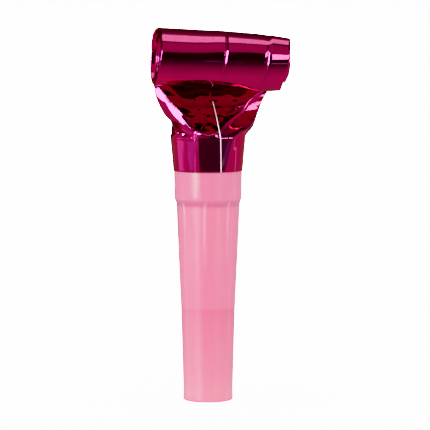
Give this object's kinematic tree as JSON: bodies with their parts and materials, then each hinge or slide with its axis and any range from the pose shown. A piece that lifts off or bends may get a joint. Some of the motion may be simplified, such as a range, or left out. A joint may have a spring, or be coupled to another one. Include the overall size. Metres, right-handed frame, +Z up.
{
  "type": "party horn blower",
  "caption": "Tapered translucent mouthpiece with a reed inside, gathered into a metallic foil tube that is rolled up in front and unrolls.",
  "frame": {"origin": "centre of the mouth rim, where the player blows", "axes": "+Z up the mouthpiece towards the roll, +X along the roll, -Y towards the side where the roll lies"},
  "size_m": [0.0347, 0.0234, 0.0984],
  "materials": {
    "pink_plastic": "satin",
    "insert_plastic": "satin",
    "reed_film": "satin",
    "glue": "satin",
    "foil": "polished",
    "spring_wire": "polished"
  },
  "bodies": {
    "root": {"mouthpiece_tube": "pink_plastic", "reed_barrel": "insert_plastic", "reed_trough": "insert_plastic", "reed_wedge": "insert_plastic", "glue_band": "glue", "foil_neck": "foil", "retract_spring": "spring_wire"},
    "reed": {"reed_tongue": "reed_film"},
    "roll_01": {"foil_section_01": "foil"},
    "roll_02": {"foil_section_02": "foil"},
    "roll_03": {"foil_section_03": "foil"},
    "roll_04": {"foil_section_04": "foil"},
    "roll_05": {"foil_section_05": "foil"},
    "roll_06": {"foil_section_06": "foil"},
    "roll_07": {"foil_section_07": "foil"},
    "roll_08": {"foil_section_08": "foil"},
    "roll_09": {"foil_section_09": "foil"},
    "roll_10": {"foil_section_10": "foil"},
    "roll_11": {"foil_section_11": "foil"},
    "roll_12": {"foil_section_12": "foil"},
    "roll_13": {"foil_section_13": "foil"},
    "roll_14": {"foil_section_14": "foil"},
    "roll_15": {"foil_section_15": "foil"},
    "roll_16": {"foil_section_16": "foil"},
    "roll_17": {"foil_section_17": "foil"},
    "roll_18": {"foil_section_18": "foil"},
    "roll_19": {"foil_section_19": "foil"},
    "roll_20": {"foil_section_20": "foil"},
    "roll_21": {"foil_section_21": "foil"},
    "roll_22": {"foil_section_22": "foil"},
    "roll_23": {"foil_section_23": "foil"},
    "roll_24": {"foil_section_24": "foil"},
    "roll_25": {"foil_section_25": "foil"},
    "roll_26": {"foil_section_26": "foil"},
    "roll_27": {"foil_section_27": "foil"},
    "roll_28": {"foil_section_28": "foil"},
    "roll_29": {"foil_section_29": "foil"},
    "roll_30": {"foil_section_30": "foil"},
    "roll_31": {"foil_section_31": "foil"},
    "roll_32": {"foil_section_32": "foil"},
    "roll_33": {"foil_section_33": "foil"},
    "roll_34": {"foil_section_34": "foil"},
    "roll_35": {"foil_section_35": "foil"},
    "roll_36": {"foil_section_36": "foil", "tip_seal": "foil"}
  },
  "joints": [
    {"name": "unroll", "type": "hinge", "parent": "root", "child": "roll_01", "pos_m": [0.0019, 0.0003, 0.0904], "axis": [-0.9983, 0, 0.0576], "range_deg": [0, 22.5], "stiffness_Nm_per_rad": 0.004, "springref_deg": 1.24, "deforming": ["retract_spring"]},
    {"name": "unroll_02", "type": "hinge", "parent": "roll_01", "child": "roll_02", "pos_m": [0.00219, -0.00178, 0.09541], "axis": [-0.9983, 0, 0.0576], "range_deg": [0, 45], "stiffness_Nm_per_rad": 0.0005, "springref_deg": 7.08},
    {"name": "unroll_03", "type": "hinge", "parent": "roll_02", "child": "roll_03", "pos_m": [0.00231, -0.00671, 0.09745], "axis": [-0.9983, 0, 0.0576], "range_deg": [0, 45], "stiffness_Nm_per_rad": 0.0005, "springref_deg": 0.72},
    {"name": "unroll_04", "type": "hinge", "parent": "roll_03", "child": "roll_04", "pos_m": [0.00219, -0.01156, 0.09545], "axis": [-0.9983, 0, 0.0576], "range_deg": [0, 45], "stiffness_Nm_per_rad": 0.0005, "springref_deg": -6.59},
    {"name": "unroll_05", "type": "hinge", "parent": "roll_04", "child": "roll_05", "pos_m": [0.00192, -0.01353, 0.0907], "axis": [-0.9983, 0, 0.0576], "range_deg": [0, 45], "stiffness_Nm_per_rad": 0.0005, "springref_deg": -9.48},
    {"name": "unroll_06", "type": "hinge", "parent": "roll_05", "child": "roll_06", "pos_m": [0.00165, -0.01159, 0.08604], "axis": [-0.9983, 0, 0.0576], "range_deg": [0, 45], "stiffness_Nm_per_rad": 0.0005, "springref_deg": -6.76},
    {"name": "unroll_07", "type": "hinge", "parent": "roll_06", "child": "roll_07", "pos_m": [0.00154, -0.00701, 0.08415], "axis": [-0.9983, 0, 0.0576], "range_deg": [0, 45], "stiffness_Nm_per_rad": 0.0005, "springref_deg": -0.53},
    {"name": "unroll_08", "type": "hinge", "parent": "roll_07", "child": "roll_08", "pos_m": [0.00165, -0.00252, 0.08601], "axis": [-0.9983, 0, 0.0576], "range_deg": [0, 45], "stiffness_Nm_per_rad": 0.0005, "springref_deg": 4.23},
    {"name": "unroll_09", "type": "hinge", "parent": "roll_08", "child": "roll_09", "pos_m": [0.0019, -0.0007, 0.0904], "axis": [-0.9983, 0, 0.0576], "range_deg": [0, 45], "stiffness_Nm_per_rad": 0.0005, "springref_deg": 6.02},
    {"name": "unroll_10", "type": "hinge", "parent": "roll_09", "child": "roll_10", "pos_m": [0.00215, -0.00249, 0.09471], "axis": [-0.9983, 0, 0.0576], "range_deg": [0, 45], "stiffness_Nm_per_rad": 0.0005, "springref_deg": 4.33},
    {"name": "unroll_11", "type": "hinge", "parent": "roll_10", "child": "roll_11", "pos_m": [0.00225, -0.00671, 0.09645], "axis": [-0.9983, 0, 0.0576], "range_deg": [0, 45], "stiffness_Nm_per_rad": 0.0005, "springref_deg": 0.55},
    {"name": "unroll_12", "type": "hinge", "parent": "roll_11", "child": "roll_12", "pos_m": [0.00215, -0.01085, 0.09474], "axis": [-0.9983, 0, 0.0576], "range_deg": [0, 45], "stiffness_Nm_per_rad": 0.0005, "springref_deg": -3.72},
    {"name": "unroll_13", "type": "hinge", "parent": "roll_12", "child": "roll_13", "pos_m": [0.00192, -0.01252, 0.0907], "axis": [-0.9983, 0, 0.0576], "range_deg": [0, 45], "stiffness_Nm_per_rad": 0.0005, "springref_deg": -5.42},
    {"name": "unroll_14", "type": "hinge", "parent": "roll_13", "child": "roll_14", "pos_m": [0.00169, -0.01088, 0.08675], "axis": [-0.9983, 0, 0.0576], "range_deg": [0, 45], "stiffness_Nm_per_rad": 0.0005, "springref_deg": -3.84},
    {"name": "unroll_15", "type": "hinge", "parent": "roll_14", "child": "roll_15", "pos_m": [0.0016, -0.00701, 0.08515], "axis": [-0.9983, 0, 0.0576], "range_deg": [0, 45], "stiffness_Nm_per_rad": 0.0005, "springref_deg": -0.33},
    {"name": "unroll_16", "type": "hinge", "parent": "roll_15", "child": "roll_16", "pos_m": [0.00169, -0.00323, 0.08671], "axis": [-0.9983, 0, 0.0576], "range_deg": [0, 45], "stiffness_Nm_per_rad": 0.0005, "springref_deg": 2.33},
    {"name": "unroll_17", "type": "hinge", "parent": "roll_16", "child": "roll_17", "pos_m": [0.0019, -0.0017, 0.0904], "axis": [-0.9983, 0, 0.0576], "range_deg": [0, 45], "stiffness_Nm_per_rad": 0.0005, "springref_deg": 3.3},
    {"name": "unroll_18", "type": "hinge", "parent": "roll_17", "child": "roll_18", "pos_m": [0.00211, -0.00319, 0.094], "axis": [-0.9983, 0, 0.0576], "range_deg": [0, 45], "stiffness_Nm_per_rad": 0.0005, "springref_deg": 2.4},
    {"name": "unroll_19", "type": "hinge", "parent": "roll_18", "child": "roll_19", "pos_m": [0.00219, -0.00671, 0.09545], "axis": [-0.9983, 0, 0.0576], "range_deg": [0, 45], "stiffness_Nm_per_rad": 0.0005, "springref_deg": 0.4},
    {"name": "unroll_20", "type": "hinge", "parent": "roll_19", "child": "roll_20", "pos_m": [0.00211, -0.01014, 0.09404], "axis": [-0.9983, 0, 0.0576], "range_deg": [0, 45], "stiffness_Nm_per_rad": 0.0005, "springref_deg": -1.78},
    {"name": "unroll_21", "type": "hinge", "parent": "roll_20", "child": "roll_21", "pos_m": [0.00192, -0.01153, 0.0907], "axis": [-0.9983, 0, 0.0576], "range_deg": [0, 45], "stiffness_Nm_per_rad": 0.0005, "springref_deg": -2.64},
    {"name": "unroll_22", "type": "hinge", "parent": "roll_21", "child": "roll_22", "pos_m": [0.00173, -0.01018, 0.08745], "axis": [-0.9983, 0, 0.0576], "range_deg": [0, 45], "stiffness_Nm_per_rad": 0.0005, "springref_deg": -1.86},
    {"name": "unroll_23", "type": "hinge", "parent": "roll_22", "child": "roll_23", "pos_m": [0.00165, -0.00701, 0.08615], "axis": [-0.9983, 0, 0.0576], "range_deg": [0, 45], "stiffness_Nm_per_rad": 0.0005, "springref_deg": -0.16},
    {"name": "unroll_24", "type": "hinge", "parent": "roll_23", "child": "roll_24", "pos_m": [0.00173, -0.00394, 0.08742], "axis": [-0.9983, 0, 0.0576], "range_deg": [0, 45], "stiffness_Nm_per_rad": 0.00048, "springref_deg": 1.14},
    {"name": "unroll_25", "type": "hinge", "parent": "roll_24", "child": "roll_25", "pos_m": [0.0019, -0.0027, 0.0904], "axis": [-0.9983, 0, 0.0576], "range_deg": [0, 45], "stiffness_Nm_per_rad": 0.0005, "springref_deg": 1.54},
    {"name": "unroll_26", "type": "hinge", "parent": "roll_25", "child": "roll_26", "pos_m": [0.00207, -0.0039, 0.09329], "axis": [-0.9983, 0, 0.0576], "range_deg": [0, 45], "stiffness_Nm_per_rad": 0.00046, "springref_deg": 1.24},
    {"name": "unroll_27", "type": "hinge", "parent": "roll_26", "child": "roll_27", "pos_m": [0.00213, -0.00671, 0.09446], "axis": [-0.9983, 0, 0.0576], "range_deg": [0, 45], "stiffness_Nm_per_rad": 0.00033, "springref_deg": 0.42},
    {"name": "unroll_28", "type": "hinge", "parent": "roll_27", "child": "roll_28", "pos_m": [0.00207, -0.00943, 0.09333], "axis": [-0.9983, 0, 0.0576], "range_deg": [0, 45], "stiffness_Nm_per_rad": 0.00027, "springref_deg": -1.11},
    {"name": "unroll_29", "type": "hinge", "parent": "roll_28", "child": "roll_29", "pos_m": [0.00192, -0.01052, 0.0907], "axis": [-0.9983, 0, 0.0576], "range_deg": [0, 45], "stiffness_Nm_per_rad": 0.0003, "springref_deg": -1.55},
    {"name": "unroll_30", "type": "hinge", "parent": "roll_29", "child": "roll_30", "pos_m": [0.00177, -0.00947, 0.08816], "axis": [-0.9983, 0, 0.0576], "range_deg": [0, 45], "stiffness_Nm_per_rad": 0.00021, "springref_deg": -1.51},
    {"name": "unroll_31", "type": "hinge", "parent": "roll_30", "child": "roll_31", "pos_m": [0.00171, -0.00701, 0.08714], "axis": [-0.9983, 0, 0.0576], "range_deg": [0, 45], "stiffness_Nm_per_rad": 0.00018, "springref_deg": -0.07},
    {"name": "unroll_32", "type": "hinge", "parent": "roll_31", "child": "roll_32", "pos_m": [0.00177, -0.00464, 0.08812], "axis": [-0.9983, 0, 0.0576], "range_deg": [0, 45], "stiffness_Nm_per_rad": 0.00017, "springref_deg": 1.15},
    {"name": "unroll_33", "type": "hinge", "parent": "roll_32", "child": "roll_33", "pos_m": [0.0019, -0.0037, 0.0904], "axis": [-0.9983, 0, 0.0576], "range_deg": [0, 45], "stiffness_Nm_per_rad": 0.00022, "springref_deg": 1.2},
    {"name": "unroll_34", "type": "hinge", "parent": "roll_33", "child": "roll_34", "pos_m": [0.00203, -0.00461, 0.09259], "axis": [-0.9983, 0, 0.0576], "range_deg": [0, 45], "stiffness_Nm_per_rad": 0.00017, "springref_deg": 1.21},
    {"name": "unroll_35", "type": "hinge", "parent": "roll_34", "child": "roll_35", "pos_m": [0.00208, -0.00671, 0.09346], "axis": [-0.9983, 0, 0.0576], "range_deg": [0, 45], "stiffness_Nm_per_rad": 0.000092, "springref_deg": 1.01},
    {"name": "unroll_36", "type": "hinge", "parent": "roll_35", "child": "roll_36", "pos_m": [0.00203, -0.00873, 0.09262], "axis": [-0.9983, 0, 0.0576], "range_deg": [0, 45], "stiffness_Nm_per_rad": 0.000055, "springref_deg": 0.11},
    {"name": "reed_flex", "type": "hinge", "parent": "root", "child": "reed", "pos_m": [0, 0.00015, 0.0235], "axis": [-1, 0, 0], "range_deg": [0, 3], "stiffness_Nm_per_rad": 0.00002}
  ],
  "couplings": [
    {"joint": "unroll_02", "follows": "unroll", "ratio": 2},
    {"joint": "unroll_03", "follows": "unroll", "ratio": 2},
    {"joint": "unroll_04", "follows": "unroll", "ratio": 2},
    {"joint": "unroll_05", "follows": "unroll", "ratio": 2},
    {"joint": "unroll_06", "follows": "unroll", "ratio": 2},
    {"joint": "unroll_07", "follows": "unroll", "ratio": 2},
    {"joint": "unroll_08", "follows": "unroll", "ratio": 2},
    {"joint": "unroll_09", "follows": "unroll", "ratio": 2},
    {"joint": "unroll_10", "follows": "unroll", "ratio": 2},
    {"joint": "unroll_11", "follows": "unroll", "ratio": 2},
    {"joint": "unroll_12", "follows": "unroll", "ratio": 2},
    {"joint": "unroll_13", "follows": "unroll", "ratio": 2},
    {"joint": "unroll_14", "follows": "unroll", "ratio": 2},
    {"joint": "unroll_15", "follows": "unroll", "ratio": 2},
    {"joint": "unroll_16", "follows": "unroll", "ratio": 2},
    {"joint": "unroll_17", "follows": "unroll", "ratio": 2},
    {"joint": "unroll_18", "follows": "unroll", "ratio": 2},
    {"joint": "unroll_19", "follows": "unroll", "ratio": 2},
    {"joint": "unroll_20", "follows": "unroll", "ratio": 2},
    {"joint": "unroll_21", "follows": "unroll", "ratio": 2},
    {"joint": "unroll_22", "follows": "unroll", "ratio": 2},
    {"joint": "unroll_23", "follows": "unroll", "ratio": 2},
    {"joint": "unroll_24", "follows": "unroll", "ratio": 2},
    {"joint": "unroll_25", "follows": "unroll", "ratio": 2},
    {"joint": "unroll_26", "follows": "unroll", "ratio": 2},
    {"joint": "unroll_27", "follows": "unroll", "ratio": 2},
    {"joint": "unroll_28", "follows": "unroll", "ratio": 2},
    {"joint": "unroll_29", "follows": "unroll", "ratio": 2},
    {"joint": "unroll_30", "follows": "unroll", "ratio": 2},
    {"joint": "unroll_31", "follows": "unroll", "ratio": 2},
    {"joint": "unroll_32", "follows": "unroll", "ratio": 2},
    {"joint": "unroll_33", "follows": "unroll", "ratio": 2},
    {"joint": "unroll_34", "follows": "unroll", "ratio": 2},
    {"joint": "unroll_35", "follows": "unroll", "ratio": 2},
    {"joint": "unroll_36", "follows": "unroll", "ratio": 2}
  ]
}
